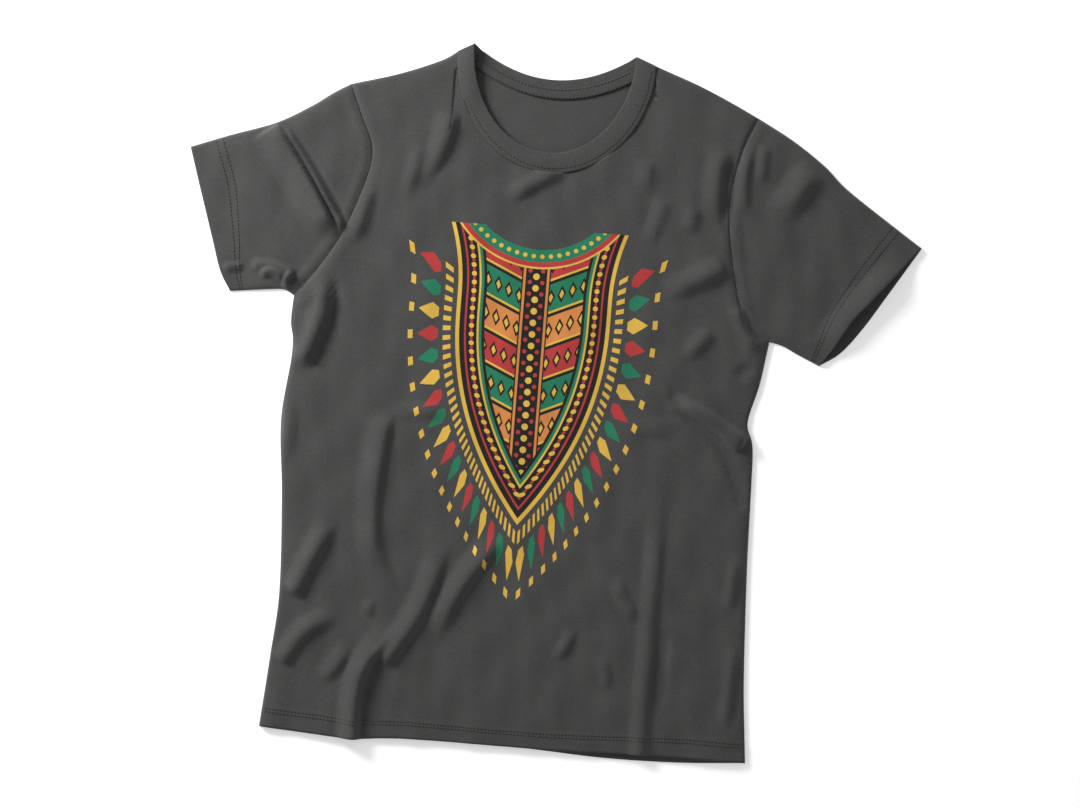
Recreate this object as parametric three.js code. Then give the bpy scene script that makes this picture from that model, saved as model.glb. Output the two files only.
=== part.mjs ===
// A short-sleeved crew-neck shirt of cotton jersey, lying flat on its back with its front up.
// Millimetres, +Z up, the neck towards +Y. The wearer's right is at -X and the wearer's left at +X.
// Every cut piece is one closed wall of cloth, and pieces keep a small gap where they are sewn.
import * as THREE from "three";

// Driving sizes
const CLOTH = 1.3; // wall of one layer of jersey
const SEAM_GAP = 0.4; // between two pieces at a seam, and between layers that lie on each other
const HEM_DEPTH = 22; // turned-up edge of the body
const CUFF_DEPTH = 24; // turned-up edge of the sleeves
const HEM_EXTRA = 0.8; // wall that a turned-up edge adds on the inside
const RIB_WALL = 2.0; // the doubled neck rib
const RIB_LIFT = 0.5; // how far the rib stands over the front panel beside it
const TAPE_WALL = 0.8; // the tape over the back neck seam
const TAPE_BELOW = 2; // how far the tape reaches below that seam
const LOFT = 2.2; // how far the upper layer floats over the lower one between its folds
const EDGE_ROLL = 16; // distance in which the upper layer comes down to a folded edge
const UPPER_REST = CLOTH + SEAM_GAP; // underside of the upper layer where it lies on the lower one

// Where the neck lies: the two tips of the shoulders' seams, and how deep the front and the back are cut
const NECK_HALF = 102.5;
const NECK_TIP = 377;
const FRONT_DROP = 118;
const BACK_DROP = 40;
const RIB_CENTRE = [-2.5, 385];
const RIB_HALF = 84; // half the width of the opening inside the rib
const RIB_FRONT_DROP = 106;
const RIB_BACK_DROP = 30;

// How finely each stretch is divided. All that meets at an armhole or at the neck is divided alike there.
const DIVISIONS = { frontSide: 17, backSide: 8, shoulder: 4, neck: 26, armhole: 10, sleeve: 11, tape: 14 };
const PIT_SHARE = 0.62; // share of a panel's height that lies below the armhole
const SIDE_FADE = 10; // how quickly the armholes' curve fades from the body's columns, clear of the neck
const HEM_STEP = 1.15; // the hem's added wall ends within this much of its depth

const spline = (...points) => new THREE.SplineCurve(points.map(([x, y]) => new THREE.Vector2(x, y)));

// Half an ellipse below its centre, from -X to +X
const scoop = ([x, y], half, drop) =>
  new THREE.EllipseCurve(x, y, half, drop, Math.PI, 2 * Math.PI);

// A shallow parabola of the given drop, from -X to +X
const dip = ([x, y], half, drop) =>
  new THREE.QuadraticBezierCurve(
    new THREE.Vector2(x - half, y),
    new THREE.Vector2(x, y - 2 * drop),
    new THREE.Vector2(x + half, y),
  );

// The necklines: the seams on the panels, and the rib's free edges
const NECK = {
  frontSeam: scoop([0, NECK_TIP], NECK_HALF, FRONT_DROP),
  backSeam: dip([0, NECK_TIP], NECK_HALF, BACK_DROP),
  frontEdge: scoop(RIB_CENTRE, RIB_HALF, RIB_FRONT_DROP),
  backEdge: dip(RIB_CENTRE, RIB_HALF, RIB_BACK_DROP),
};
const rightTip = [-NECK_HALF, NECK_TIP];
const leftTip = [NECK_HALF, NECK_TIP];
const rightPit = [-253, 112];
const leftPit = [242, 102];
const rightPoint = [-211, 334]; // the outer end of the right shoulder seam
const leftPoint = [213, 331];
const rightHem = [-254, -337];
const leftHem = [251, -336];

// The rest of the outline as it lies: each stretch is a smooth curve through its few turning points.
const BODY = {
  rightSide: spline(
    rightHem, [-248, -260], [-244, -195], [-249, -100], [-256, -18], [-250, 55], [-254, 84], rightPit,
  ),
  leftSide: spline(
    leftHem, [243, -250], [237, -130], [235, -50], [233, -8], [226, 16], [235, 55], leftPit,
  ),
  rightArmhole: spline(rightPit, [-232, 139], [-207, 182], [-188, 236], [-184, 270], [-198, 304], rightPoint),
  leftArmhole: spline(leftPit, [218, 114], [203, 158], [192, 215], [191, 252], [200, 298], leftPoint),
  rightShoulder: spline(rightPoint, [-161, 349], [-119, 366], rightTip),
  leftShoulder: spline(leftTip, [150, 360], [182, 346], leftPoint),
  frontHem: spline(rightHem, [-205, -340], [-155, -342], [-98, -338], [50, -338], [150, -336], leftHem),
  backHem: spline(rightHem, [-155, -339], [0, -338], [100, -342], [180, -341], leftHem),
};
const RIGHT_SLEEVE = {
  armhole: BODY.rightArmhole,
  top: spline(rightPoint, [-229, 323], [-250, 308], [-285, 288], [-330, 272], [-372, 256]),
  upperCuff: spline([-320, 111], [-331, 130], [-341, 160], [-354, 200], [-372, 256]),
  lowerCuff: spline([-320, 111], [-331, 130], [-341, 160], [-354, 200], [-372, 256]),
  underarm: spline(rightPit, [-264, 117], [-280, 116], [-320, 111]),
};
const LEFT_SLEEVE = {
  armhole: BODY.leftArmhole,
  top: spline(leftPoint, [250, 311], [285, 287], [311, 264], [372, 223], [392, 210]),
  upperCuff: spline([296, 81], [308, 99], [326, 130], [351, 160], [392, 210]),
  lowerCuff: spline([296, 81], [317, 96], [338, 123], [360, 158], [392, 210]),
  underarm: spline(leftPit, [256, 99], [273, 91], [296, 81]),
};

// The largest folds. The spine is the crest, and left and right are the reaches of its flanks as seen along
// the spine. Over the shares fadeIn and fadeOut of its length the fold rises from and sinks into the cloth.
const FOLDS = [
  {
    name: "roll under the right arm",
    height: 8, left: 14, right: 16, fadeIn: 0.3, fadeOut: 0.2,
    spine: [[-226, 140], [-223, 100], [-231, 66], [-242, 36]],
  },
  {
    name: "right of the neck",
    height: 5, left: 12, right: 18, fadeIn: 0.2, fadeOut: 0.6,
    spine: [[-104, 318], [-109, 285], [-120, 258], [-140, 228]],
  },
  {
    name: "bulge at the hem",
    height: 10, left: 15, right: 18, fadeIn: 0.4, fadeOut: 0,
    spine: [[-122, -220], [-141, -250], [-153, -276], [-157, -310], [-156, -342]],
  },
  {
    name: "long fold at the right waist",
    height: 5, left: 14, right: 20, fadeIn: 0.1, fadeOut: 0.4,
    spine: [[-146, 0], [-151, -45], [-154, -95], [-150, -142], [-134, -172], [-126, -205]],
  },
  {
    name: "slant over the belly",
    height: 7, left: 14, right: 18, fadeIn: 0.4, fadeOut: 0.1,
    spine: [[-74, -125], [-89, -180], [-100, -210], [-116, -238], [-134, -266]],
  },
  {
    name: "slant below the ornament",
    height: 6, left: 14, right: 18, fadeIn: 0.2, fadeOut: 0.4,
    spine: [[-20, -122], [-50, -165], [-66, -196], [-82, -240]],
  },
  {
    name: "slant at the right hip",
    height: 6, left: 14, right: 18, fadeIn: 0.4, fadeOut: 0.1,
    spine: [[-192, -112], [-212, -155], [-230, -200]],
  },
  {
    name: "slant above the right hem",
    height: 5, left: 14, right: 16, fadeIn: 0.4, fadeOut: 0.1,
    spine: [[-180, -214], [-214, -234], [-238, -270]],
  },
  {
    name: "pinch at the left waist",
    height: 9, left: 13, right: 14, fadeIn: 0.3, fadeOut: 0.05,
    spine: [[143, 36], [174, 24], [200, 10], [226, -5]],
  },
  {
    name: "pressed line",
    height: 3.5, left: 14, right: 14, fadeIn: 0.3, fadeOut: 0,
    spine: [[141, -60], [141, -200], [141, -337]],
  },
  {
    name: "beside the left armhole",
    height: 4.5, left: 14, right: 18, fadeIn: 0.3, fadeOut: 0.4,
    spine: [[182, 305], [176, 262], [178, 215]],
  },
  {
    name: "slant from the left armhole",
    height: 5, left: 16, right: 18, fadeIn: 0.1, fadeOut: 0.5,
    spine: [[192, 176], [160, 158], [122, 140]],
  },
  {
    name: "across the left sleeve",
    height: 6, left: 20, right: 24, fadeIn: 0.3, fadeOut: 0.5,
    spine: [[282, 285], [262, 262], [240, 222]],
  },
  {
    name: "tuck across the right sleeve",
    height: 8, left: 16, right: 30, fadeIn: 0.1, fadeOut: 0.3,
    spine: [[-291, 284], [-266, 248], [-240, 208], [-214, 172]],
  },
  {
    name: "gape of the left cuff",
    height: 8, left: 20, right: 26, fadeIn: 0.3, fadeOut: 0.3,
    spine: [[384, 201], [351, 160], [326, 130], [300, 88]],
  },
];
const SPINE_STEPS = 12;
const EDGE_STEPS = 24;

// Edges where the upper and the lower layer are joined, so the upper one comes down to them
const JOINED_EDGES = [
  BODY.rightSide, BODY.leftSide, BODY.rightShoulder, BODY.leftShoulder,
  RIGHT_SLEEVE.top, RIGHT_SLEEVE.underarm, LEFT_SLEEVE.top, LEFT_SLEEVE.underarm,
].map((curve) => curve.getPoints(EDGE_STEPS));

// Finishes
const JERSEY = { color: 0x4b4b4a, roughness: 0.93, metalness: 0 };
const RIB = { color: 0x484847, roughness: 0.95, metalness: 0 };
const TAPE = { color: 0x454544, roughness: 0.9, metalness: 0 };

const clamp = (t) => Math.min(1, Math.max(0, t));
const smooth = (t) => clamp(t) ** 2 * (3 - 2 * clamp(t));
const steps = (count, from = 0, to = 1) =>
  Array.from({ length: count + 1 }, (_, i) => from + ((to - from) * i) / count);

// Where (x, y) lies by a line of points: the distance, the share of its length, and the side it is on
function nearest(x, y, line) {
  const found = { distance: Infinity, along: 0, side: 1 };
  line.slice(1).forEach((end, i) => {
    const start = line[i];
    const length = end.distanceTo(start);
    const run = end.clone().sub(start).divideScalar(length);
    const dx = x - start.x;
    const dy = y - start.y;
    const t = Math.min(length, Math.max(0, dx * run.x + dy * run.y));
    const distance = Math.hypot(dx - run.x * t, dy - run.y * t);
    if (distance < found.distance) {
      found.distance = distance;
      found.along = (i + t / length) / (line.length - 1);
      found.side = run.x * dy - run.y * dx < 0 ? -1 : 1;
    }
  });
  return found;
}

for (const fold of FOLDS) fold.line = spline(...fold.spine).getSpacedPoints(SPINE_STEPS);

function foldHeight(fold, x, y) {
  const at = nearest(x, y, fold.line);
  const reach = at.side > 0 ? fold.left : fold.right;
  const across = (1 - Math.min(1, at.distance / reach) ** 2) ** 2;
  const rise = fold.fadeIn ? smooth(at.along / fold.fadeIn) : 1;
  const sink = fold.fadeOut ? smooth((1 - at.along) / fold.fadeOut) : 1;
  return fold.height * across * rise * sink;
}

// Height of the underside of the upper layer over the table
function upperHeight({ x, y }) {
  const fromEdge = Math.min(...JOINED_EDGES.map((line) => nearest(x, y, line).distance));
  const lifted = FOLDS.reduce((sum, fold) => sum + foldHeight(fold, x, y), LOFT);
  const roundedEdge = Math.sqrt(1 - (1 - clamp(fromEdge / EDGE_ROLL)) ** 2);
  return UPPER_REST + lifted * roundedEdge;
}

// A stretch of boundary made of curves joined end to end, each over its share of the parameter
function joined(...stretches) {
  return (t) => {
    let start = 0;
    for (const { curve, share } of stretches) {
      const local = (t - start) / share;
      if (local <= 1 + 1e-9) return curve.getPointAt(clamp(local));
      start += share;
    }
    return stretches.at(-1).curve.getPointAt(1);
  };
}

// The plan of a patch between four boundaries: near and far run along u, and first and last along v. The pull
// of first and last fades with the power fade, so that a high one leaves the middle to near and far.
function patch(near, far, first, last, fade = 1) {
  const between = (u, v) => near(u).multiplyScalar(1 - v).addScaledVector(far(u), v);
  return (u, v) =>
    between(u, v)
      .addScaledVector(first(v).sub(between(0, v)), (1 - u) ** fade)
      .addScaledVector(last(v).sub(between(1, v)), u ** fade);
}

// A closed wall between two grids of points, outer[i][j] and inner[i][j]. Both skins are cut along the same
// diagonals, and rims close every side that doesn't run round into itself.
function wall(outer, inner, { closedAlong = false, closedAcross = false } = {}) {
  const along = outer.length;
  const across = outer[0].length;
  const skin = along * across;
  const rows = closedAlong ? along : along - 1;
  const columns = closedAcross ? across : across - 1;
  const at = (i, j) => (i % along) * across + (j % across);
  const index = [];
  const rim = (a, b) => index.push(a, b, skin + b, a, skin + b, skin + a);
  for (let i = 0; i < rows; i++) {
    for (let j = 0; j < columns; j++) {
      const [a, b, c, d] = [at(i, j), at(i + 1, j), at(i + 1, j + 1), at(i, j + 1)];
      index.push(a, b, c, a, c, d);
      index.push(skin + c, skin + b, skin + a, skin + d, skin + c, skin + a);
    }
  }
  for (let i = 0; i < rows && !closedAcross; i++) {
    rim(at(i + 1, 0), at(i, 0));
    rim(at(i, across - 1), at(i + 1, across - 1));
  }
  for (let j = 0; j < columns && !closedAlong; j++) {
    rim(at(0, j), at(0, j + 1));
    rim(at(along - 1, j + 1), at(along - 1, j));
  }
  const geometry = new THREE.BufferGeometry().setFromPoints([...outer.flat(), ...inner.flat()]);
  return outward(geometry.setIndex(index));
}

// Turns every face round if the wall came out inside out
function outward(geometry) {
  const index = geometry.index.array;
  const corner = (i) => new THREE.Vector3().fromBufferAttribute(geometry.attributes.position, index[i]);
  let volume = 0;
  for (let t = 0; t < index.length; t += 3) {
    volume += corner(t).dot(corner(t + 1).cross(corner(t + 2)));
  }
  for (let t = 0; volume < 0 && t < index.length; t += 3) {
    [index[t + 1], index[t + 2]] = [index[t + 2], index[t + 1]];
  }
  geometry.computeVertexNormals();
  return geometry;
}

const raised = (p, z) => new THREE.Vector3(p.x, p.y, z);

function piece(name, geometry, finish) {
  const mesh = new THREE.Mesh(geometry, new THREE.MeshStandardMaterial(finish));
  mesh.name = name;
  return mesh;
}

// A body panel's columns run over one shoulder, the neck and the other shoulder. Its rows run up the side and
// the armhole, with two of them close together where the turned-up hem ends.
function bodyPanel(side, hemCurve, neckCurve) {
  const { shoulder, neck, armhole } = DIVISIONS;
  const columns = steps(2 * shoulder + neck);
  const shoulderShare = shoulder / (2 * shoulder + neck);
  const hemShare = (HEM_DEPTH / BODY.rightSide.getLength()) * PIT_SHARE;
  const rows = [
    0,
    hemShare,
    hemShare * HEM_STEP,
    ...steps(side, 0, PIT_SHARE).slice(1),
    ...steps(armhole, PIT_SHARE, 1).slice(1),
  ].sort((a, b) => a - b);
  const plan = patch(
    joined({ curve: hemCurve, share: 1 }),
    joined(
      { curve: BODY.rightShoulder, share: shoulderShare },
      { curve: neckCurve, share: 1 - 2 * shoulderShare },
      { curve: BODY.leftShoulder, share: shoulderShare },
    ),
    joined({ curve: BODY.rightSide, share: PIT_SHARE }, { curve: BODY.rightArmhole, share: 1 - PIT_SHARE }),
    joined({ curve: BODY.leftSide, share: PIT_SHARE }, { curve: BODY.leftArmhole, share: 1 - PIT_SHARE }),
    SIDE_FADE,
  );
  return (height) =>
    rows.map((v) => {
      const hem = v <= hemShare ? HEM_EXTRA : 0;
      return columns.map((u) => raised(plan(u, v), height(plan(u, v), hem)));
    });
}

// The back lies flat on the table, with its hem turned up on top.
function back() {
  const grid = bodyPanel(DIVISIONS.backSide, BODY.backHem, NECK.backSeam);
  const top = grid((_, hem) => CLOTH + hem);
  return piece("back", wall(top, grid(() => 0)), JERSEY);
}

// The front lies over the back in its folds, with its hem turned up underneath.
function front() {
  const grid = bodyPanel(DIVISIONS.frontSide, BODY.frontHem, NECK.frontSeam);
  const underside = grid((p, hem) => upperHeight(p) + hem);
  const top = grid((p, hem) => upperHeight(p) + CLOTH + 2 * hem);
  return piece("front", wall(top, underside), JERSEY);
}

// A sleeve is one tube that lies flat, from a seam's gap off the armhole to the cuff. Each station's loop runs
// up the upper layer and back down the lower one, and the cuff is turned up on the inside.
function sleeve(name, { armhole, top, underarm, upperCuff, lowerCuff }) {
  const start = SEAM_GAP / underarm.getLength();
  const inset = CLOTH / armhole.getLength();
  const cuffShare = CUFF_DEPTH / ((top.getLength() + underarm.getLength()) / 2);
  const stations = [...steps(DIVISIONS.sleeve, start, 1 - cuffShare * HEM_STEP), 1 - cuffShare, 1];
  const planTo = (cuff) => patch(...[armhole, cuff, underarm, top].map((curve) => joined({ curve, share: 1 })));
  const upper = planTo(upperCuff);
  const lower = planTo(lowerCuff);
  const loop = (u, margin, upperZ, lowerZ) => {
    const across = steps(DIVISIONS.armhole, margin, 1 - margin);
    const over = across.map((v) => raised(upper(v, u), upperHeight(upper(v, u)) + upperZ));
    const under = across.map((v) => raised(lower(v, u), lowerZ));
    return [...over, ...under.reverse()];
  };
  const hemAt = (u) => (u >= 1 - cuffShare ? HEM_EXTRA : 0);
  const outer = stations.map((u) => loop(u, 0, CLOTH + 2 * hemAt(u), 0));
  const inner = stations.map((u) => loop(u, inset, hemAt(u), CLOTH + hemAt(u)));
  return piece(name, wall(outer, inner, { closedAcross: true }), JERSEY);
}

// The rib is a doubled band round the whole neck. It lies over the front panel's level at the front, turns
// over at each side of the neck, and lies face down along the back neckline.
function neckRib() {
  const frontLevel = UPPER_REST + LOFT + RIB_LIFT + RIB_WALL / 2;
  const backLevel = RIB_WALL / 2;
  const turn = (frontLevel - backLevel) / 2;
  const turnSteps = steps(4).slice(1, -1);
  const faces = { outer: [], inner: [] };
  const addSection = (seam, edge, height, normal) => {
    const start = seam.clone().lerp(edge, SEAM_GAP / seam.distanceTo(edge));
    for (const [skin, sign] of [["outer", 1], ["inner", -1]]) {
      const offset = normal.clone().multiplyScalar((sign * RIB_WALL) / 2);
      faces[skin].push([raised(start, height).add(offset), raised(edge, height).add(offset)]);
    }
  };
  const up = new THREE.Vector3(0, 0, 1);
  const addTurn = (t, angles) => {
    const [seam, edge] = [NECK.frontSeam.getPointAt(t), NECK.frontEdge.getPointAt(t)];
    for (const angle of angles) {
      const shift = new THREE.Vector2(0, turn * Math.sin(angle));
      const normal = new THREE.Vector3(0, Math.sin(angle), Math.cos(angle));
      const height = backLevel + turn * (1 + Math.cos(angle));
      addSection(seam.clone().add(shift), edge.clone().add(shift), height, normal);
    }
  };
  for (const t of steps(DIVISIONS.neck)) {
    addSection(NECK.frontSeam.getPointAt(t), NECK.frontEdge.getPointAt(t), frontLevel, up);
  }
  addTurn(1, turnSteps.map((share) => Math.PI * share));
  for (const t of steps(DIVISIONS.neck).reverse()) {
    addSection(NECK.backSeam.getPointAt(t), NECK.backEdge.getPointAt(t), backLevel, up.clone().negate());
  }
  addTurn(0, turnSteps.map((share) => Math.PI * (1 - share)));
  return piece("neck_rib", wall(faces.outer, faces.inner, { closedAlong: true }), RIB);
}

// The tape lies inside the neck, over the seam between the back panel and the rib.
function neckTape() {
  const [from, to] = [0.17, 0.83]; // the stretch of the back seam that it covers
  const ribShare = 0.5; // how far it reaches over the rib
  const level = RIB_WALL + SEAM_GAP;
  const grid = (z) =>
    steps(DIVISIONS.tape, from, to).map((t) => {
      const seam = NECK.backSeam.getPointAt(t);
      const edge = NECK.backEdge.getPointAt(t);
      const low = seam.clone().lerp(edge, -TAPE_BELOW / seam.distanceTo(edge));
      return [raised(low, z), raised(seam.lerp(edge, ribShare), z)];
    });
  return piece("neck_tape", wall(grid(level + TAPE_WALL), grid(level)), TAPE);
}

const shirt = new THREE.Group();
shirt.add(back(), front(), sleeve("right_sleeve", RIGHT_SLEEVE), sleeve("left_sleeve", LEFT_SLEEVE));
shirt.add(neckRib(), neckTape());

// The origin is on the table, under the middle of the shirt's outline.
const box = new THREE.Box3().setFromObject(shirt);
const middle = box.getCenter(new THREE.Vector3());
shirt.position.set(-middle.x, -middle.y, -box.min.z);

export default shirt;
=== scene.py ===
"""A crew-neck jersey shirt laid flat, with a printed yoke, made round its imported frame."""
import math

import bmesh
import bpy
import numpy as np
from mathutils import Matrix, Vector


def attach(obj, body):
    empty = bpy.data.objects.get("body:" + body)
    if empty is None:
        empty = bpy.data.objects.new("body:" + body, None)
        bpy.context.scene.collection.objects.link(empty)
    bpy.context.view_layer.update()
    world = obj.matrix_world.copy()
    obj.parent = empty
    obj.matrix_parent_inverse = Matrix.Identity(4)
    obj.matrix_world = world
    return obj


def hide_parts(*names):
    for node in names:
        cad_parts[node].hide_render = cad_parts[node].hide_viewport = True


bl_info = {
    "name": "Jersey shirt laid flat",
    "version": (1, 0, 0),
    "blender": (4, 5, 0),
    "location": "View3D > Sidebar > Shirt",
    "description": "Makes the panels, sleeves, rib, tape and stitches of a flat-laid jersey shirt",
    "category": "Object",
}

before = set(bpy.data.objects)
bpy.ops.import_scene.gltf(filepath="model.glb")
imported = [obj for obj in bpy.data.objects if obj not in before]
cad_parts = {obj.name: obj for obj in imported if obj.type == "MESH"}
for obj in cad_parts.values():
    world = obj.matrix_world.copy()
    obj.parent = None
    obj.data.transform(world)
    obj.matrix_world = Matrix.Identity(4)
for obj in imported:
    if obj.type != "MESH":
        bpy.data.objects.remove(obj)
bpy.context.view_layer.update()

# The outline is in millimetres round the shirt's centre line. MIDDLE is the frame's origin in those.
MM = 0.001
MIDDLE = np.array([10.0, 22.99])
CLOTH = 1.3
SEAM_GAP = 0.4
LOFT = 2.2
EDGE_ROLL = 16.0
UPPER_REST = CLOTH + SEAM_GAP
PIT_SHARE = 0.62  # share of a panel's height below the armhole
SHOULDER_SHARE = 4 / 34  # share of a panel's width that each shoulder takes
SIDE_FADE = 10  # how quickly the armholes' curve fades from the body's columns
HEM_LIFT = 0.9  # how far the turned-up hem stands over the front
HEM_ROW = 0.031  # the hem ends at this share of the panel's height
HEM_STEP = 0.004  # the share over which it comes down
SEAM_DIP, SEAM_WIDTH = 1.2, 2.6  # the groove of an armhole seam
LIP, LIP_FROM_SEAM, LIP_WIDTH = 0.8, 8, 4  # the soft lip on each side of it
LEAST_LOFT = 0.3
SLEEVE_ROLL = 0.012  # share of a sleeve's width that its folded edge takes
MERGE = 0.00002  # in metres, as the meshes are
FRONT_GRID, BACK_GRID, SLEEVE_GRID = (170, 230), (90, 120), (80, 240)  # columns and rows
RIB_GRID, TAPE_GRID = (360, 14), (110, 8)
RIB_WALL, TAPE_WALL = 1.6, 0.6

RIGHT_TIP, LEFT_TIP = (-102.5, 377), (102.5, 377)
RIGHT_PIT, LEFT_PIT = (-253, 112), (242, 102)
RIGHT_POINT, LEFT_POINT = (-211, 334), (213, 331)
RIGHT_HEM, LEFT_HEM = (-254, -337), (251, -336)


class Curve:
    """A line of points that is read by the share of its length."""

    def __init__(self, points):
        self.points = np.asarray(points, float)
        runs = np.linalg.norm(np.diff(self.points, axis=0), axis=1)
        self.shares = np.concatenate([[0], np.cumsum(runs)])
        self.length = self.shares[-1]
        self.shares /= self.length

    def at(self, t):
        return np.stack([np.interp(t, self.shares, self.points[:, i]) for i in (0, 1)], -1)


def spline(*points, steps=16):
    """A smooth curve through a few turning points."""
    p = np.asarray(points, float)
    p = np.vstack([2 * p[0] - p[1], p, 2 * p[-1] - p[-2]])
    t = np.linspace(0, 1, steps, endpoint=False)[:, None]
    runs = []
    for a, b, c, d in zip(p, p[1:], p[2:], p[3:]):
        bend = 2 * a - 5 * b + 4 * c - d
        twist = 3 * (b - c) + d - a
        runs.append(0.5 * (2 * b + (c - a) * t + bend * t**2 + twist * t**3))
    return Curve(np.vstack(runs + [p[-2:-1]]))


def scoop(centre, half, drop):
    """Half an ellipse below its centre, from -X to +X."""
    turn = np.linspace(math.pi, 2 * math.pi, 80)
    return Curve(np.stack([centre[0] + half * np.cos(turn), centre[1] + drop * np.sin(turn)], -1))


def dip(centre, half, drop):
    """A shallow parabola, from -X to +X."""
    x = np.linspace(-1, 1, 60)
    return Curve(np.stack([centre[0] + half * x, centre[1] - drop * (1 - x**2)], -1))


RIB_CENTRE = (-2.5, 385)
FRONT_SEAM = scoop((0, 377), 102.5, 118)
BACK_SEAM = dip((0, 377), 102.5, 40)
FRONT_EDGE = scoop(RIB_CENTRE, 84, 106)
BACK_EDGE = dip(RIB_CENTRE, 84, 30)
BODY = {
    "right_side": spline(RIGHT_HEM, (-248, -260), (-244, -195), (-249, -100), (-256, -18),
                         (-250, 55), (-254, 84), RIGHT_PIT),
    "left_side": spline(LEFT_HEM, (243, -250), (237, -130), (235, -50), (233, -8),
                        (226, 16), (235, 55), LEFT_PIT),
    "right_armhole": spline(RIGHT_PIT, (-232, 139), (-207, 182), (-188, 236), (-184, 270),
                            (-198, 304), RIGHT_POINT),
    "left_armhole": spline(LEFT_PIT, (218, 114), (203, 158), (192, 215), (191, 252),
                           (200, 298), LEFT_POINT),
    "right_shoulder": spline(RIGHT_POINT, (-161, 349), (-119, 366), RIGHT_TIP),
    "left_shoulder": spline(LEFT_TIP, (150, 360), (182, 346), LEFT_POINT),
    "front_hem": spline(RIGHT_HEM, (-205, -340), (-155, -342), (-98, -338), (50, -338),
                        (150, -336), LEFT_HEM),
    "back_hem": spline(RIGHT_HEM, (-155, -339), (0, -338), (100, -342), (180, -341), LEFT_HEM),
}
SLEEVES = {
    "right_sleeve": {
        "armhole": BODY["right_armhole"],
        "top": spline(RIGHT_POINT, (-229, 323), (-250, 308), (-285, 288), (-330, 272), (-372, 256)),
        "upper_cuff": spline((-320, 111), (-331, 130), (-341, 160), (-354, 200), (-372, 256)),
        "lower_cuff": spline((-320, 111), (-331, 130), (-341, 160), (-354, 200), (-372, 256)),
        "underarm": spline(RIGHT_PIT, (-264, 117), (-280, 116), (-320, 111)),
    },
    "left_sleeve": {
        "armhole": BODY["left_armhole"],
        "top": spline(LEFT_POINT, (250, 311), (285, 287), (311, 264), (372, 223), (392, 210)),
        "upper_cuff": spline((296, 81), (308, 99), (326, 130), (351, 160), (392, 210)),
        "lower_cuff": spline((296, 81), (317, 96), (338, 123), (360, 158), (392, 210)),
        "underarm": spline(LEFT_PIT, (256, 99), (273, 91), (296, 81)),
    },
}

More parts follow.
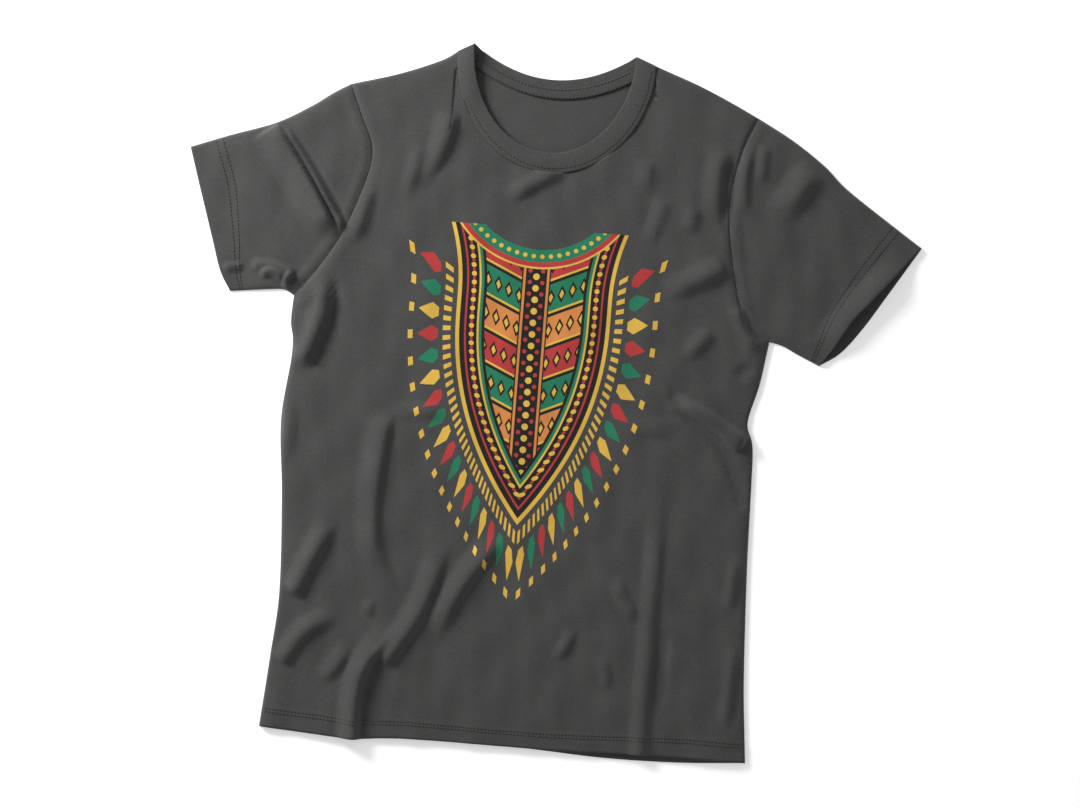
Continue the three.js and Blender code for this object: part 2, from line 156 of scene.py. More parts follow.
# Creases: height, the reach of the left and right flank along the spine, the shares over which it rises and
# sinks, and the spine. A negative height is a trough.
CREASES = (
    # the largest folds, which the frame has too
    (8, 14, 16, 0.3, 0.2, ((-226, 140), (-223, 100), (-231, 66), (-242, 36))),
    (5, 12, 18, 0.2, 0.6, ((-104, 318), (-109, 285), (-120, 258), (-140, 228))),
    (9, 9, 20, 0.4, 0.0, ((-122, -220), (-141, -250), (-153, -276), (-157, -310), (-156, -342))),
    (5, 11, 22, 0.1, 0.4, ((-146, 0), (-151, -45), (-154, -95), (-150, -142), (-134, -172), (-126, -205))),
    (6, 11, 20, 0.4, 0.1, ((-74, -125), (-89, -180), (-100, -210), (-116, -238), (-134, -266))),
    (5, 11, 20, 0.2, 0.4, ((-20, -122), (-50, -165), (-66, -196), (-82, -240))),
    (6, 12, 18, 0.4, 0.1, ((-192, -112), (-212, -155), (-230, -200))),
    (5, 12, 16, 0.4, 0.1, ((-180, -214), (-214, -234), (-238, -270))),
    (9, 10, 16, 0.3, 0.05, ((143, 36), (174, 24), (200, 10), (226, -5))),
    (3.5, 12, 14, 0.3, 0.0, ((141, -60), (141, -200), (141, -337))),
    (4.5, 12, 18, 0.3, 0.4, ((182, 305), (176, 262), (178, 215))),
    (5, 14, 18, 0.1, 0.5, ((192, 176), (160, 158), (122, 140))),
    (6, 18, 24, 0.3, 0.5, ((282, 285), (262, 262), (240, 222))),
    (8, 4.5, 30, 0.04, 0.2, ((-288, 287), (-262, 252), (-236, 213), (-213, 175))),
    (8, 20, 26, 0.3, 0.3, ((384, 201), (351, 160), (326, 130), (300, 88))),
    # the tuck's second lip, and the crumples at the right underarm
    (3.5, 4, 5, 0.15, 0.1, ((-279, 287), (-251, 250), (-226, 212), (-205, 180))),
    (-2, 5, 4, 0.2, 0.1, ((-271, 285), (-243, 249), (-218, 212), (-201, 184))),
    (4, 6, 7, 0.3, 0.3, ((-292, 128), (-280, 134), (-268, 129), (-262, 122))),
    (4, 5, 6, 0.2, 0.3, ((-256, 136), (-262, 124), (-258, 112))),
    (3, 5, 6, 0.3, 0.3, ((-244, 124), (-240, 110), (-246, 98))),
    # smaller soft creases between them
    (2.5, 8, 12, 0.3, 0.5, ((-132, 283), (-146, 213))),
    (3, 8, 12, 0.3, 0.4, ((-180, 236), (-190, 189), (-201, 163))),
    (-3, 10, 9, 0.2, 0.4, ((-213, 142), (-210, 100), (-221, 62), (-240, 19))),
    (3, 8, 10, 0.2, 0.4, ((-252, 8), (-248, -20), (-249, -70))),
    (2, 7, 10, 0.4, 0.4, ((-150, -195), (-149, -216))),
    (3.5, 10, 14, 0.3, 0.3, ((20, 264), (-4, 252), (-26, 238), (-42, 226))),
    (2.5, 12, 16, 0.4, 0.5, ((101, 285), (104, 240))),
    (2.5, 10, 14, 0.3, 0.4, ((124, 246), (116, 213), (109, 188))),
    (2.5, 10, 14, 0.3, 0.4, ((154, 236), (150, 204))),
    (-3, 9, 9, 0.2, 0.3, ((188, 290), (186, 250), (188, 205))),
    (-5, 9, 9, 0.3, 0.1, ((140, 58), (158, 24), (194, -2), (215, -34), (230, -77))),
    (3.5, 10, 12, 0.2, 0.5, ((182, 110), (168, 92), (152, 72))),
    (4, 9, 11, 0.2, 0.3, ((203, 138), (217, 108), (231, 84))),
    (-3, 8, 9, 0.3, 0.3, ((224, 78), (212, 58))),
    (3, 9, 10, 0.3, 0.4, ((226, -120), (221, -186))),
    (3, 8, 10, 0.3, 0.3, ((230, -210), (229, -262), (226, -308))),
    (-2.5, 10, 10, 0.3, 0.3, ((157, -200), (157, -290))),
    (3, 10, 12, 0.4, 0.3, ((101, -150), (112, -176), (129, -199))),
    (2.5, 8, 10, 0.4, 0.4, ((63, -207), (56, -230), (44, -246))),
    (2, 8, 9, 0.4, 0.4, ((92, -235), (101, -260), (96, -273))),
    (2.5, 8, 12, 0.3, 0.3, ((206, 304), (203, 268), (206, 227))),
    (2, 8, 10, 0.3, 0.3, ((222, 309), (221, 285), (221, 261))),
    (3, 8, 10, 0.2, 0.2, ((-302, 141), (-275, 139), (-251, 132))),
    (2, 6, 8, 0.3, 0.3, ((-330, 134), (-306, 139))),
    (3, 10, 14, 0.4, 0.4, ((-166, -240), (-180, -268), (-200, -290))),
    (2, 12, 12, 0.4, 0.4, ((-150, 0), (-112, 2), (-78, 3))),
    (2, 14, 14, 0.5, 0.5, ((96, 4), (130, 3), (164, 6))),
)
CREASE_DEPTH = 1.45  # every height in CREASES is multiplied by this
# Slow waves in which the cloth lies: height, wavelength, heading in degrees, and start
WAVES = ((0.55, 74, 22, 0.4), (0.45, 51, -31, 1.9), (0.35, 38, 58, 2.7), (0.25, 29, 8, 5.1))
SPINE_STEPS = 14
EDGE_STEPS = 30
JOINED_EDGES = [
    curve.at(np.linspace(0, 1, EDGE_STEPS))
    for curve in (
        BODY["right_side"], BODY["left_side"], BODY["right_shoulder"], BODY["left_shoulder"],
        SLEEVES["right_sleeve"]["top"], SLEEVES["right_sleeve"]["underarm"],
        SLEEVES["left_sleeve"]["top"], SLEEVES["left_sleeve"]["underarm"],
    )
]


def smooth(t):
    t = np.clip(t, 0, 1)
    return t * t * (3 - 2 * t)


def nearest(points, line):
    """How far each point is from a line, the share of its length, and the side it is on."""
    best = np.full(len(points), np.inf)
    along = np.zeros(len(points))
    side = np.ones(len(points))
    for i, (start, end) in enumerate(zip(line, line[1:])):
        run = end - start
        offset = points - start
        t = np.clip(offset @ run / (run @ run), 0, 1)
        distance = np.linalg.norm(offset - t[:, None] * run, axis=1)
        closer = distance < best
        best[closer] = distance[closer]
        along[closer] = (i + t[closer]) / (len(line) - 1)
        turn = run[0] * offset[closer, 1] - run[1] * offset[closer, 0]
        side[closer] = np.where(turn < 0, -1, 1)
    return best, along, side


def crease_height(points, height, left, right, fade_in, fade_out, spine):
    distance, along, side = nearest(points, spline(*spine).at(np.linspace(0, 1, SPINE_STEPS)))
    reach = np.where(side > 0, left, right)
    across = (1 - np.clip(distance / reach, 0, 1) ** 2) ** 2
    rise = smooth(along / fade_in) if fade_in else 1
    sink = smooth((1 - along) / fade_out) if fade_out else 1
    return height * across * rise * sink


def upper_height(points):
    """Height of the underside of the upper layer over the table, in millimetres."""
    from_edge = np.min([nearest(points, line)[0] for line in JOINED_EDGES], axis=0)
    lifted = LOFT + CREASE_DEPTH * sum(crease_height(points, *crease) for crease in CREASES)
    for height, length, heading, start in WAVES:
        turn = math.radians(heading)
        run = points @ np.array([math.cos(turn), math.sin(turn)])
        cross = points @ np.array([-math.sin(turn), math.cos(turn)])
        lifted = lifted + height * np.sin(math.tau * run / length + start + 1.3 * np.sin(cross / length))
    for armhole in ("right_armhole", "left_armhole"):
        seam = nearest(points, BODY[armhole].at(np.linspace(0, 1, EDGE_STEPS)))[0]
        groove = SEAM_DIP * np.exp(-((seam / SEAM_WIDTH) ** 2))
        lip = LIP * np.exp(-(((seam - LIP_FROM_SEAM) / LIP_WIDTH) ** 2))
        lifted = lifted - groove + lip
    rounded = np.sqrt(1 - (1 - np.clip(from_edge / EDGE_ROLL, 0, 1)) ** 2)
    return UPPER_REST + np.maximum(lifted, LEAST_LOFT) * rounded


def joined(*stretches):
    """Curves joined end to end, each over its share of the parameter."""

    def at(t):
        t = np.atleast_1d(np.asarray(t, float))
        out = stretches[-1][0].at(np.ones_like(t))
        start = 0.0
        todo = np.ones(len(t), bool)
        for curve, share in stretches:
            here = todo & (t <= start + share + 1e-9)
            out[here] = curve.at(np.clip((t[here] - start) / share, 0, 1))
            todo &= ~here
            start += share
        return out

    return at


def patch(near, far, first, last, fade=1):
    """The plan of a panel between four boundaries."""

    def between(u, v):
        return near(u) * (1 - v)[:, None] + far(u) * v[:, None]

    def at(u, v):
        zero, one = np.zeros_like(u), np.ones_like(u)
        plan = between(u, v) + (first(v) - between(zero, v)) * ((1 - u) ** fade)[:, None]
        return plan + (last(v) - between(one, v)) * (u**fade)[:, None]

    return at


def body_plan(hem, neck):
    shoulder = SHOULDER_SHARE
    pit = PIT_SHARE
    return patch(
        joined((hem, 1)),
        joined(
            (BODY["right_shoulder"], shoulder),
            (neck, 1 - 2 * shoulder),
            (BODY["left_shoulder"], shoulder),
        ),
        joined((BODY["right_side"], pit), (BODY["right_armhole"], 1 - pit)),
        joined((BODY["left_side"], pit), (BODY["left_armhole"], 1 - pit)),
        SIDE_FADE,
    )


def sleeve_plan(cut, cuff):
    return patch(*(joined((cut[part], 1)) for part in ("armhole", cuff, "underarm", "top")))


def to_frame(plan, z):
    return np.column_stack([(plan - MIDDLE) * MM, z * MM])


def sheet(name, columns, rows, place, wall, material, inside=None):
    """A grid laid by place(u, v) in the middle of a wall of cloth, merged where a tube's edges meet."""
    bm = bmesh.new()
    bmesh.ops.create_grid(bm, x_segments=columns, y_segments=rows, size=0.5)
    at = np.array([vert.co for vert in bm.verts])
    for vert, spot in zip(bm.verts, place(at[:, 0] + 0.5, at[:, 1] + 0.5)):
        vert.co = spot
    bmesh.ops.remove_doubles(bm, verts=bm.verts, dist=MERGE)
    return finish_piece(bm, name, material, wall, inside)


def finish_piece(bm, name, material, wall=0.0, inside=None):
    """Puts the mesh in the scene. A cloth with another finish inside lies with its outer face up."""
    bmesh.ops.recalc_face_normals(bm, faces=bm.faces)
    if inside and sum(face.normal.z for face in bm.faces) < 0:
        bmesh.ops.reverse_faces(bm, faces=bm.faces)
    mesh = bpy.data.meshes.new(name)
    bm.to_mesh(mesh)
    bm.free()
    for face in mesh.polygons:
        face.use_smooth = True
    piece = bpy.data.objects.new(name, mesh)
    bpy.context.scene.collection.objects.link(piece)
    mesh.materials.append(material)
    if wall:
        solid = piece.modifiers.new("Wall", "SOLIDIFY")
        solid.thickness = wall * MM
        solid.offset = 0
        if inside:
            mesh.materials.append(inside)
            solid.material_offset = 1
            solid.material_offset_rim = 1
    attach(piece, "root")
    return piece


# Shader helpers
def value_of(tree, operation, *inputs):
    """One step of arithmetic on sockets or numbers."""
    node = tree.nodes.new("ShaderNodeMath")
    node.operation = operation
    for socket, given in zip(node.inputs, inputs):
        if isinstance(given, (int, float)):
            socket.default_value = given
        else:
            tree.links.new(given, socket)
    return node.outputs[0]


def object_position(tree):
    coords = tree.nodes.new("ShaderNodeTexCoord")
    return coords.outputs["Object"]


def layer_colour(tree, below, above, mask):
    mix = tree.nodes.new("ShaderNodeMix")
    mix.data_type = "RGBA"
    tree.links.new(mask, mix.inputs[0])
    for socket, given in ((mix.inputs[6], below), (mix.inputs[7], above)):
        if isinstance(given, tuple):
            socket.default_value = given
        else:
            tree.links.new(given, socket)
    return mix.outputs[2]


def knit_group():
    """Knitted cloth: fine wales and fuzz with their height, and a soft mottle of the yarn."""
    group = bpy.data.node_groups.new("Knit", "ShaderNodeTree")
    group.interface.new_socket("Yarn", in_out="INPUT", socket_type="NodeSocketColor")
    group.interface.new_socket("Wales", in_out="INPUT", socket_type="NodeSocketFloat")
    group.interface.new_socket("Colour", in_out="OUTPUT", socket_type="NodeSocketColor")
    group.interface.new_socket("Height", in_out="OUTPUT", socket_type="NodeSocketFloat")
    inside = group.nodes.new("NodeGroupInput")
    outside = group.nodes.new("NodeGroupOutput")
    position = object_position(group)
    wales = group.nodes.new("ShaderNodeTexWave")
    wales.wave_type = "BANDS"
    wales.bands_direction = "X"
    wales.inputs["Distortion"].default_value = 2.0
    wales.inputs["Detail Scale"].default_value = 3.0
    group.links.new(position, wales.inputs["Vector"])
    group.links.new(inside.outputs["Wales"], wales.inputs["Scale"])
    fuzz = group.nodes.new("ShaderNodeTexNoise")
    fuzz.inputs["Scale"].default_value = 700
    fuzz.inputs["Detail"].default_value = 3
    group.links.new(position, fuzz.inputs["Vector"])
    mottle = group.nodes.new("ShaderNodeTexNoise")
    mottle.inputs["Scale"].default_value = 35
    mottle.inputs["Detail"].default_value = 5
    group.links.new(position, mottle.inputs["Vector"])
    shade = value_of(group, "ADD", value_of(group, "MULTIPLY", fuzz.outputs[0], 0.9), 0.38)
    shade = value_of(group, "ADD", shade, value_of(group, "MULTIPLY", mottle.outputs[0], 0.34))
    tint = group.nodes.new("ShaderNodeVectorMath")
    tint.operation = "SCALE"
    group.links.new(inside.outputs["Yarn"], tint.inputs[0])
    group.links.new(shade, tint.inputs["Scale"])
    group.links.new(tint.outputs[0], outside.inputs["Colour"])
    height = value_of(group, "ADD", value_of(group, "MULTIPLY", wales.outputs["Fac"], 0.5), fuzz.outputs[0])
    group.links.new(height, outside.inputs["Height"])
    return group


# The yoke's own sizes, in millimetres round its centre
YOKE_CENTRE = (-4.0, 0.0)
YOKE_TOP = 200.0
YOKE_TIP = -108.0
YOKE_HALF = 80.0
ARCH_START = 110.0  # below this the yoke draws in to its tip
COLLAR_CENTRE = 262.0
COLLAR_RADIUS = 84.0
GOLD = (0.60, 0.37, 0.05, 1)
ORANGE = (0.55, 0.20, 0.05, 1)
RED = (0.38, 0.03, 0.03, 1)
GREEN = (0.01, 0.16, 0.08, 1)
BLACK = (0.006, 0.005, 0.005, 1)
# Bands round the yoke: from, to in millimetres inside its edge, and the ink
BANDS = (
    (0, 4, GOLD),
    (4, 9, BLACK),
    (9, 11, RED),
    (11, 22, BLACK),
    (22, 24, GOLD),
    (24, 27, GREEN),
    (27, 30, BLACK),
)
PANEL_INSET = 30  # where the bands end and the tiers begin
STRIP_HALF = 15  # half the width of the beaded middle strip
TIER = 34.0
ARCH_POWER = 2.2
YOKE_LEAN = 0.35  # narrows the bands where the outline slants
FLARE_START, FLARE = 130.0, 12.0  # the yoke widens from here to its top by this much
CHEVRON_SLOPE = 0.45
DIAMOND_PITCH, BEAD_PITCH, DOT_PITCH = 11.0, 12.0, 9.0
DOT_INSET = 16.5
CRESCENT_WIDTH = 20.0
FRINGE_CENTRE = 95.0
FRINGE_HALF, FRINGE_DROP = 95.0, 205.0
DASHES = (5, 13)  # from, to beyond the yoke's edge
KITE_START, KITE_LENGTH = 18, 22
KITE_BEADS = (44, 49)
FRINGE_TURNS = 30
FRINGE_LAST = 18  # motifs on each side


def yoke_ink(tree, ground):
    """The printed yoke laid over the cloth's colour: bands, chevron tiers, dots and a fringe of kites."""

    def m(operation, *inputs):
        return value_of(tree, operation, *inputs)

    def both(*masks):
        out = masks[0]
        for mask in masks[1:]:
            out = m("MULTIPLY", out, mask)
        return out

    def within(x, low, high):
        return both(m("GREATER_THAN", x, low), m("LESS_THAN", x, high))

    def dots(along, across, pitch, centre, radius):
        step = m("MULTIPLY", m("SUBTRACT", m("FRACT", m("DIVIDE", along, pitch)), 0.5), pitch)
        far = m("SQRT", m("ADD", m("POWER", step, 2), m("POWER", m("SUBTRACT", across, centre), 2)))
        return m("LESS_THAN", far, radius)

    split = tree.nodes.new("ShaderNodeSeparateXYZ")
    tree.links.new(object_position(tree), split.inputs[0])
    x = m("SUBTRACT", m("DIVIDE", split.outputs[0], MM), YOKE_CENTRE[0] - float(MIDDLE[0]))
    y = m("SUBTRACT", m("DIVIDE", split.outputs[1], MM), YOKE_CENTRE[1] - float(MIDDLE[1]))
    side = m("ABSOLUTE", x)
    down = m("MAXIMUM", m("DIVIDE", m("SUBTRACT", ARCH_START, y), ARCH_START - YOKE_TIP), 0)
    half = m("MULTIPLY", m("SUBTRACT", 1, m("POWER", down, ARCH_POWER)), YOKE_HALF)
    rise = m("MAXIMUM", m("DIVIDE", m("SUBTRACT", y, FLARE_START), YOKE_TOP - FLARE_START), 0)
    flare = m("MULTIPLY", m("POWER", rise, 2), FLARE)
    lean = m("ADD", 1, m("MULTIPLY", m("POWER", down, 2), YOKE_LEAN))
    inset = m("DIVIDE", m("SUBTRACT", m("ADD", half, flare), side), lean)
    collar = m("SQRT", m("ADD", m("POWER", x, 2), m("POWER", m("SUBTRACT", y, COLLAR_CENTRE), 2)))
    below_collar = m("GREATER_THAN", collar, COLLAR_RADIUS)
    body = both(m("GREATER_THAN", inset, 0), m("LESS_THAN", y, YOKE_TOP), below_collar)
    ink = layer_colour(tree, ground, BLACK, body)

    # tiers of chevrons between the bands, in three inks, each with a row of diamonds
    slope = m("ADD", y, m("MULTIPLY", side, -CHEVRON_SLOPE))
    tier = m("FRACT", m("DIVIDE", slope, TIER))
    kind = m("FRACT", m("DIVIDE", m("FLOOR", m("DIVIDE", slope, TIER)), 3))
    panel = both(body, m("GREATER_THAN", inset, PANEL_INSET), m("GREATER_THAN", side, STRIP_HALF))
    ink = layer_colour(tree, ink, GREEN, both(panel, m("LESS_THAN", kind, 0.2)))
    ink = layer_colour(tree, ink, RED, both(panel, within(kind, 0.2, 0.5)))
    ink = layer_colour(tree, ink, ORANGE, both(panel, m("GREATER_THAN", kind, 0.5)))
    ink = layer_colour(tree, ink, BLACK, both(panel, m("LESS_THAN", tier, 0.1)))
    ink = layer_colour(tree, ink, GOLD, both(panel, within(tier, 0.10, 0.17)))
    cell = m("ABSOLUTE", m("SUBTRACT", m("FRACT", m("DIVIDE", side, DIAMOND_PITCH)), 0.5))
    diamond = m("ADD", cell, m("ABSOLUTE", m("MULTIPLY", m("SUBTRACT", tier, 0.58), 1.5)))
    ink = layer_colour(tree, ink, BLACK, both(panel, m("LESS_THAN", diamond, 0.40)))
    ink = layer_colour(tree, ink, GOLD, both(panel, m("LESS_THAN", diamond, 0.22)))

    # the middle strip with its beads
    strip = both(body, m("LESS_THAN", side, STRIP_HALF), m("GREATER_THAN", inset, PANEL_INSET))
    ink = layer_colour(tree, ink, ORANGE, both(strip, within(side, 11, 13.5)))
    ink = layer_colour(tree, ink, GOLD, both(strip, dots(y, side, BEAD_PITCH, 0, 3.4)))
    half_step = m("ADD", y, BEAD_PITCH / 2)
    ink = layer_colour(tree, ink, RED, both(strip, dots(half_step, side, BEAD_PITCH, 6.5, 2.2)))

    for start, end, colour in BANDS:
        ink = layer_colour(tree, ink, colour, both(body, within(inset, start, end)))
    ink = layer_colour(tree, ink, GOLD, both(body, dots(y, inset, DOT_PITCH, DOT_INSET, 2.6)))
    between = m("ADD", y, DOT_PITCH / 2)
    ink = layer_colour(tree, ink, RED, both(body, dots(between, inset, DOT_PITCH, DOT_INSET, 1.5)))

    # the collar's crescent
    crescent = both(body, m("LESS_THAN", collar, COLLAR_RADIUS + CRESCENT_WIDTH))
    ink = layer_colour(tree, ink, GREEN, crescent)
    turn = m("MULTIPLY", m("ARCTAN2", x, m("SUBTRACT", COLLAR_CENTRE, y)), COLLAR_RADIUS + 8)
    ink = layer_colour(tree, ink, GOLD, both(crescent, dots(turn, collar, DOT_PITCH, COLLAR_RADIUS + 7, 2.3)))
    ink = layer_colour(tree, ink, RED, both(crescent, m("GREATER_THAN", collar, COLLAR_RADIUS + 13)))
    ink = layer_colour(tree, ink, GOLD, both(crescent, m("GREATER_THAN", collar, COLLAR_RADIUS + 18)))

    # the fringe: a row of dashes, then kites in turn gold, green and red with a bead beyond each
    out = m("MULTIPLY", inset, -1)
    below = m("DIVIDE", m("SUBTRACT", FRINGE_CENTRE, y), FRINGE_DROP)
    angle = m("ARCTAN2", m("DIVIDE", side, FRINGE_HALF), below)
    place = m("MULTIPLY", angle, FRINGE_TURNS / math.pi)
    open_side = both(m("LESS_THAN", place, FRINGE_LAST), m("GREATER_THAN", out, 0))
    spot = m("ABSOLUTE", m("SUBTRACT", m("FRACT", place), 0.5))
    dash = m("ABSOLUTE", m("SUBTRACT", m("FRACT", m("MULTIPLY", place, 2)), 0.5))
    ink = layer_colour(tree, ink, GOLD, both(open_side, within(out, *DASHES), m("LESS_THAN", dash, 0.24)))
    reach = m("DIVIDE", m("SUBTRACT", out, KITE_START), KITE_LENGTH)
    kite = m("SUBTRACT", 0.36, m("MULTIPLY", m("ABSOLUTE", m("SUBTRACT", reach, 0.3)), 0.55))
    shape = both(open_side, within(reach, 0, 1), m("LESS_THAN", spot, kite))
    which = m("FRACT", m("DIVIDE", m("FLOOR", place), 3))
    ink = layer_colour(tree, ink, GOLD, both(shape, m("LESS_THAN", which, 0.2)))
    ink = layer_colour(tree, ink, GREEN, both(shape, within(which, 0.2, 0.5)))
    ink = layer_colour(tree, ink, RED, both(shape, m("GREATER_THAN", which, 0.5)))
    bead = both(open_side, within(out, *KITE_BEADS), m("LESS_THAN", spot, 0.16))
    return layer_colour(tree, ink, GOLD, bead)


def cloth_material(name, colour, knit, wales, bump, ink=None):
    material = bpy.data.materials.new(name)
    material.use_nodes = True
    tree = material.node_tree
    shader = tree.nodes["Principled BSDF"]
    shader.inputs["Roughness"].default_value = 0.92
    shader.inputs["Specular IOR Level"].default_value = 0.25
    shader.inputs["Sheen Weight"].default_value = 0.12
    shader.inputs["Sheen Roughness"].default_value = 0.6
    yarn = tree.nodes.new("ShaderNodeGroup")
    yarn.node_tree = knit
    yarn.inputs["Yarn"].default_value = colour
    yarn.inputs["Wales"].default_value = wales
    shade = yarn.outputs["Colour"]
    tree.links.new(ink(tree, shade) if ink else shade, shader.inputs["Base Color"])
    relief = tree.nodes.new("ShaderNodeBump")
    relief.inputs["Strength"].default_value = bump
    relief.inputs["Distance"].default_value = 0.0004
    tree.links.new(yarn.outputs["Height"], relief.inputs["Height"])
    tree.links.new(relief.outputs[0], shader.inputs["Normal"])
    return material


THREAD_SHADE = 0.8  # of the cloth's colour
THREAD_WALES = 900


def finish_of(name):
    """Each finish is made once and found again by its name."""
    if name in bpy.data.materials:
        return bpy.data.materials[name]
    sizes = bpy.context.scene.shirt_cloth
    knit = bpy.data.node_groups.get("Knit") or knit_group()
    colour = (*sizes.colour, 1)
    thread = (*(part * THREAD_SHADE for part in sizes.colour), 1)
    makers = {
        "Jersey": lambda: cloth_material(name, colour, knit, sizes.wales, 0.35),
        "PrintedJersey": lambda: cloth_material(name, colour, knit, sizes.wales, 0.35, yoke_ink),
        "RibKnit": lambda: cloth_material(name, colour, knit, sizes.wales * 0.5, 0.6),
        "Twill": lambda: cloth_material(name, colour, knit, sizes.wales * 1.6, 0.5),
        "Thread": lambda: cloth_material(name, thread, knit, THREAD_WALES, 0.4),
    }
    return makers[name]()


# Properties
class ShirtCloth(bpy.types.PropertyGroup):
    """The cloth of the shirt."""

    colour: bpy.props.FloatVectorProperty(
        name="Cloth", description="Colour of the jersey", default=(0.047, 0.0465, 0.0455), subtype="COLOR")
    wales: bpy.props.FloatProperty(name="Wales", description="Wave scale of the knit's wales", default=320.0)
    wall: bpy.props.FloatProperty(
        name="Wall", description="Thickness of one layer in millimetres", default=CLOTH)


class ShirtSewing(bpy.types.PropertyGroup):
    """The sewing of the shirt."""

    stitch: bpy.props.FloatProperty(
        name="Stitch", description="Length of a stitch", default=0.0026, unit="LENGTH")
    pitch: bpy.props.FloatProperty(
        name="Pitch", description="From one stitch to the next", default=0.0038, unit="LENGTH")
    thread: bpy.props.FloatProperty(
        name="Thread", description="Thickness of the thread", default=0.0008, unit="LENGTH")


# Operators
class SHIRT_OT_body(bpy.types.Operator):
    """Make the front and the back"""

    bl_idname = "shirt.body"
    bl_label = "Body panels"

    def execute(self, context):
        wall = context.scene.shirt_cloth.wall
        front = body_plan(BODY["front_hem"], FRONT_SEAM)
        back = body_plan(BODY["back_hem"], BACK_SEAM)

        def over(u, v):
            plan = front(u, v)
            hem = HEM_LIFT * smooth((HEM_ROW - v) / HEM_STEP)
            return to_frame(plan, upper_height(plan) + wall / 2 + hem)

        def under(u, v):
            plan = back(u, v)
            return to_frame(plan, np.full(len(u), wall / 2))

        piece = sheet("front_cloth", *FRONT_GRID, over, wall, finish_of("PrintedJersey"), finish_of("Jersey"))
        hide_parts("front")
        piece = sheet("back_cloth", *BACK_GRID, under, wall, finish_of("Jersey"))
        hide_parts("back")
        return {"FINISHED"}


class SHIRT_OT_sleeves(bpy.types.Operator):
    """Make both sleeves, each one tube lying flat"""

    bl_idname = "shirt.sleeves"
    bl_label = "Sleeves"

    def execute(self, context):
        wall = context.scene.shirt_cloth.wall
        for name, cut in SLEEVES.items():
            upper = sleeve_plan(cut, "upper_cuff")
            lower = sleeve_plan(cut, "lower_cuff")

            def tube(u, v, upper=upper, lower=lower):
                # v runs up the upper layer and back down the lower one, u from the armhole to the cuff
                across = 1 - np.abs(2 * v - 1)
                top = upper(across, u)
                bottom = lower(across, u)
                over = v <= 0.5
                plan = np.where(over[:, None], top, bottom)
                z = np.where(over, upper_height(top) + wall / 2, wall / 2)
                edge = np.clip(np.minimum(across, 1 - across) / SLEEVE_ROLL, 0, 1)
                middle = (UPPER_REST + wall) / 2
                return to_frame(plan, middle + (z - middle) * np.sqrt(1 - (1 - edge) ** 2))

            piece = sheet(name + "_cloth", *SLEEVE_GRID, tube, wall, finish_of("Jersey"))
            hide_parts(name)
        return {"FINISHED"}


FRONT_SHARE = 0.56  # share of the rib's round that lies at the front
RIB_LEVEL, RIB_BACK_LEVEL = 5.2, 1.2
RIB_CROWN = 0.9
RIB_TUCK = 0.03  # how far the rib reaches past its seam, as a share of its width
RIB_STAND, STAND_SHARE = 7.0, 0.22  # how the rib's edge stands up towards one side of the neck
TURN_SHARE, TURN_RISE = 0.06, 4  # where the back of the rib climbs to its turn
TAPE_START, TAPE_SPAN = 0.09, 0.82
TAPE_LEVEL, TAPE_CROWN = 2.9, 0.3


class SHIRT_OT_neck(bpy.types.Operator):
    """Make the neck rib and the tape"""

    bl_idname = "shirt.neck"
    bl_label = "Neck rib and tape"

    def execute(self, context):
        def rib(u, v):
            # u runs round the neck: the front from one side to the other, then back along the back neck
            front = u < FRONT_SHARE
            t = np.where(front, u / FRONT_SHARE, 1 - (u - FRONT_SHARE) / (1 - FRONT_SHARE))
            seam = np.where(front[:, None], FRONT_SEAM.at(t), BACK_SEAM.at(t))
            edge = np.where(front[:, None], FRONT_EDGE.at(t), BACK_EDGE.at(t))
            plan = seam + (edge - seam) * (-RIB_TUCK + (1 + RIB_TUCK) * v)[:, None]
            side = smooth(np.minimum(t, 1 - t) / TURN_SHARE)
            crown = RIB_CROWN * np.sin(np.pi * v)
            stand = RIB_STAND * smooth(1 - t / STAND_SHARE) * v
            back_z = RIB_BACK_LEVEL + crown * 0.5 + (1 - side) * (TURN_RISE + stand)
            z = np.where(front, RIB_LEVEL + crown + stand, back_z)
            return to_frame(plan, z)

        def tape(u, v):
            t = TAPE_START + TAPE_SPAN * u
            seam, edge = BACK_SEAM.at(t), BACK_EDGE.at(t)
            plan = seam + (edge - seam) * (-0.1 + 0.6 * v)[:, None]
            return to_frame(plan, TAPE_LEVEL + TAPE_CROWN * np.sin(np.pi * v))

        piece = sheet("neck_rib_cloth", *RIB_GRID, rib, RIB_WALL, finish_of("RibKnit"))
        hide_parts("neck_rib")
        piece = sheet("neck_tape_cloth", *TAPE_GRID, tape, TAPE_WALL, finish_of("Twill"))
        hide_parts("neck_tape")
        return {"FINISHED"}


def stitch_row(bm, line, z, sewing):
    """Dashes along a line of points that lies at the heights z."""
    size = Vector((sewing.stitch, sewing.thread, sewing.thread * 0.6))
    count = int(line.length * MM / sewing.pitch)
    shares = (np.arange(count) + 0.5) / count
    spots = to_frame(line.at(shares), z(line.at(shares)))
    further = line.at(np.minimum(shares + 0.002, 1))
    ahead = to_frame(further, z(further))
    for spot, toward in zip(spots, ahead):
        made = bmesh.ops.create_cube(bm, size=1)["verts"]
        bmesh.ops.scale(bm, vec=size, verts=made)
        turn = Vector(toward - spot).to_track_quat("X", "Z").to_matrix()
        bmesh.ops.rotate(bm, matrix=turn, verts=made)
        bmesh.ops.translate(bm, vec=Vector(spot), verts=made)


HEM_ROWS = (0.0225, 0.0275)  # the twin rows, as shares of the panel's height
CUFF_ROWS = (19, 24)  # and in millimetres from the cuff
RIB_ROW_LEVEL, TAPE_ROW_LEVEL = 6.7, 3.7
TAPE_ROWS = (-0.04, 0.44)  # shares of the rib's width
RIB_ROW = 0.2
STITCH_LIFT = 0.25


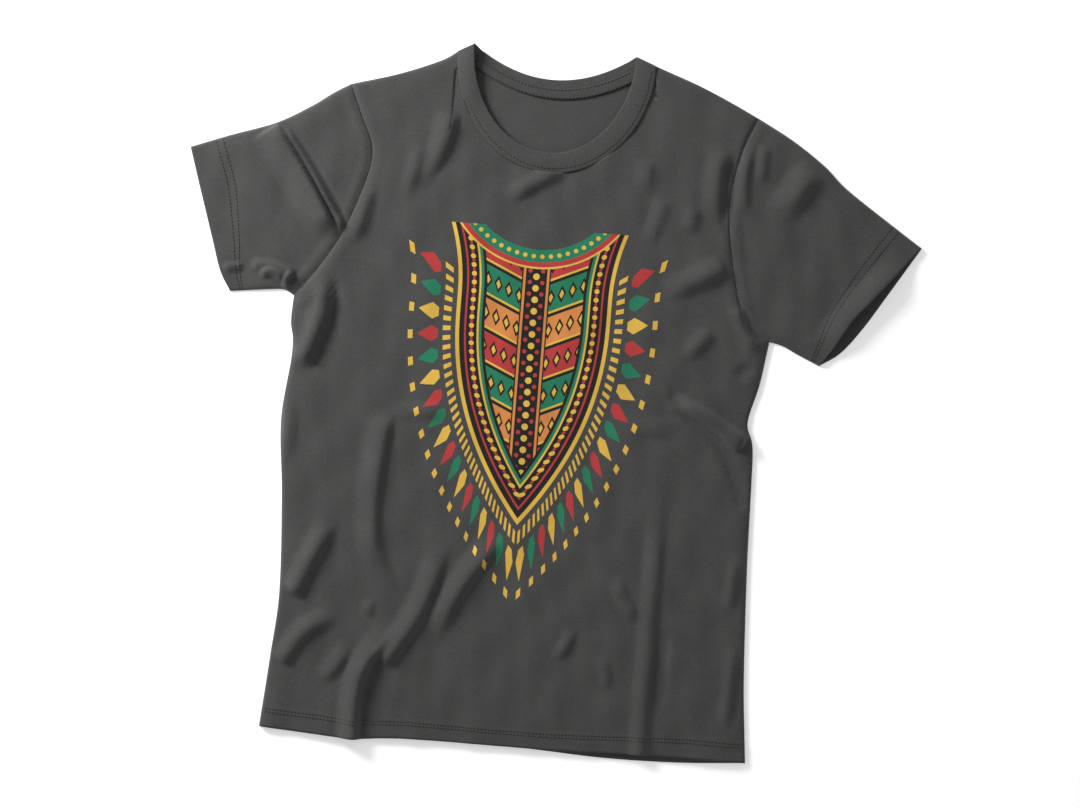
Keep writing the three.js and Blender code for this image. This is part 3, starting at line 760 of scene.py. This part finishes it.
class SHIRT_OT_stitches(bpy.types.Operator):
    """Make the rows of the front hem and the cuffs, the row beside the rib and the rows on the tape"""

    bl_idname = "shirt.stitches"
    bl_label = "Stitches"

    def execute(self, context):
        sewing = context.scene.shirt_sewing
        bm = bmesh.new()

        def over(plan):
            return upper_height(plan) + CLOTH + STITCH_LIFT

        def over_hem(plan):
            return over(plan) + HEM_LIFT

        front = body_plan(BODY["front_hem"], FRONT_SEAM)
        across = np.linspace(0.004, 0.996, 200)
        for height in HEM_ROWS:
            stitch_row(bm, Curve(front(across, np.full(len(across), height))), over_hem, sewing)
        for cut in SLEEVES.values():
            upper = sleeve_plan(cut, "upper_cuff")
            length = (cut["top"].length + cut["underarm"].length) / 2
            for depth in CUFF_ROWS:
                row = upper(across, np.full(len(across), 1 - depth / length))
                stitch_row(bm, Curve(row), over, sewing)
        shares = np.linspace(0.02, 0.98, 120)
        beside = FRONT_SEAM.at(shares) + (FRONT_EDGE.at(shares) - FRONT_SEAM.at(shares)) * RIB_ROW
        stitch_row(bm, Curve(beside), lambda plan: np.full(len(plan), RIB_ROW_LEVEL), sewing)
        shares = np.linspace(0.1, 0.9, 100)
        width = BACK_EDGE.at(shares) - BACK_SEAM.at(shares)
        for share in TAPE_ROWS:
            line = Curve(BACK_SEAM.at(shares) + width * share)
            stitch_row(bm, line, lambda plan: np.full(len(plan), TAPE_ROW_LEVEL), sewing)
        piece = finish_piece(bm, "stitches", finish_of("Thread"))
        return {"FINISHED"}


VIEW_WIDTH = 1.121  # of the floor that the camera sees
VIEW_Y = -0.0042
VIEW_TURN = math.radians(4.5)


class SHIRT_OT_stage(bpy.types.Operator):
    """Lay the floor, hang the lamp and set the sky and the camera"""

    bl_idname = "shirt.stage"
    bl_label = "Stage"

    def execute(self, context):
        scene = context.scene
        bm = bmesh.new()
        bmesh.ops.create_grid(bm, x_segments=1, y_segments=1, size=6)
        mesh = bpy.data.meshes.new("floor")
        bm.to_mesh(mesh)
        bm.free()
        floor = bpy.data.objects.new("floor", mesh)
        scene.collection.objects.link(floor)
        paper = bpy.data.materials.new("Paper")
        paper.use_nodes = True
        shader = paper.node_tree.nodes["Principled BSDF"]
        shader.inputs["Base Color"].default_value = (0.93, 0.93, 0.93, 1)
        shader.inputs["Roughness"].default_value = 0.9
        shader.inputs["Emission Color"].default_value = (1, 1, 1, 1)
        shader.inputs["Emission Strength"].default_value = 0.30
        mesh.materials.append(paper)
        floor.location.z = -0.0005

        lamp = bpy.data.lights.new("Window", "AREA")
        lamp.energy = 46
        lamp.size = 0.7
        window = bpy.data.objects.new("Window", lamp)
        scene.collection.objects.link(window)
        window.location = (-1.35, 0.95, 0.85)
        window.rotation_euler = (-window.location).to_track_quat("-Z", "Y").to_euler()
        world = bpy.data.worlds.new("Sky")
        world.use_nodes = True
        world.node_tree.nodes["Background"].inputs[0].default_value = (1, 1, 1, 1)
        world.node_tree.nodes["Background"].inputs[1].default_value = 0.5
        scene.world = world

        lens = bpy.data.cameras.new("Camera")
        lens.lens = 100
        lens.sensor_width = 36
        camera = bpy.data.objects.new("Camera", lens)
        scene.collection.objects.link(camera)
        camera.location = (0.0, VIEW_Y, VIEW_WIDTH * lens.lens / lens.sensor_width)
        camera.rotation_euler = (0, 0, VIEW_TURN)
        scene.camera = camera
        scene.view_settings.view_transform = "Standard"
        return {"FINISHED"}


class SHIRT_PT_panel(bpy.types.Panel):
    """Lists the shirt's pieces"""

    bl_idname = "SHIRT_PT_panel"
    bl_label = "Shirt"
    bl_space_type = "VIEW_3D"
    bl_region_type = "UI"
    bl_category = "Shirt"

    def draw(self, context):
        for group in (context.scene.shirt_cloth, context.scene.shirt_sewing):
            for name in group.__annotations__:
                self.layout.prop(group, name)
        for operator in OPERATORS:
            self.layout.operator(operator.bl_idname)


OPERATORS = (SHIRT_OT_stage, SHIRT_OT_body, SHIRT_OT_sleeves, SHIRT_OT_neck, SHIRT_OT_stitches)
CLASSES = (ShirtCloth, ShirtSewing, *OPERATORS, SHIRT_PT_panel)


def register():
    for cls in CLASSES:
        bpy.utils.register_class(cls)
    bpy.types.Scene.shirt_cloth = bpy.props.PointerProperty(type=ShirtCloth)
    bpy.types.Scene.shirt_sewing = bpy.props.PointerProperty(type=ShirtSewing)


def unregister():
    del bpy.types.Scene.shirt_sewing
    del bpy.types.Scene.shirt_cloth
    for cls in reversed(CLASSES):
        bpy.utils.unregister_class(cls)


def main():
    register()
    bpy.ops.shirt.stage()
    bpy.ops.shirt.body()
    bpy.ops.shirt.sleeves()
    bpy.ops.shirt.neck()
    bpy.ops.shirt.stitches()


if __name__ == "__main__":
    main()
